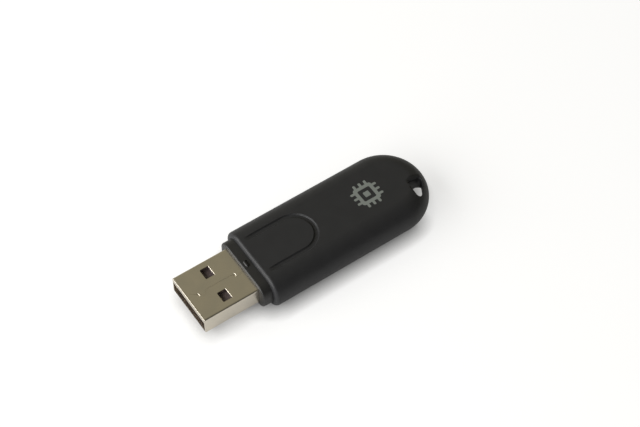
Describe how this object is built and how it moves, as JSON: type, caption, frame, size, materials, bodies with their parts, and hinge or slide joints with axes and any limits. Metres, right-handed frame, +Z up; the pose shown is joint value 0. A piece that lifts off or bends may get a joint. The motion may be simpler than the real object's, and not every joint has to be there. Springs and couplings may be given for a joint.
{
  "type": "usb flash drive",
  "caption": "Flat round-ended USB flash drive without its cap: two-part black housing, neck collar, folded steel plug, circuit board inside and a lanyard hole in the tail.",
  "frame": {"origin": "centre of the bounding box in plan, on the flat underside of the housing", "axes": "+Y runs from the plug towards the round tail along the length, +X is across the width, +Z is up through the thickness with the grooved face on top"},
  "size_m": [0.0186, 0.0562, 0.0085],
  "materials": {
    "housing": "matte black moulded plastic",
    "collar": "satin black moulded plastic",
    "steel": "nickel-plated sheet steel, satin",
    "tongue": "dark insulator plastic",
    "contact": "gold-plated, smooth",
    "board": "green solder mask on glass-fibre laminate",
    "chip": "moulded black epoxy",
    "capacitor": "tan ceramic with tinned ends",
    "resistor": "dark ceramic with tinned ends"
  },
  "bodies": {
    "root": {"upper_shell": "housing", "lower_shell": "housing", "neck_collar": "collar", "plug_shell": "steel", "plug_tongue": "tongue", "contact_vbus": "contact", "contact_data_minus": "contact", "contact_data_plus": "contact", "contact_ground": "contact", "circuit_board": "board", "controller_chip": "chip", "flash_memory_chip": "chip", "voltage_regulator": "chip", "crystal": "steel", "resettable_fuse": "resistor", "ferrite_bead": "resistor", "series_resistor_1": "resistor", "series_resistor_2": "resistor", "crystal_capacitor_1": "capacitor", "crystal_capacitor_2": "capacitor", "supply_capacitor_1": "capacitor", "supply_capacitor_2": "capacitor", "pull_up_resistor_1": "resistor", "pull_up_resistor_2": "resistor"}
  },
  "joints": []
}
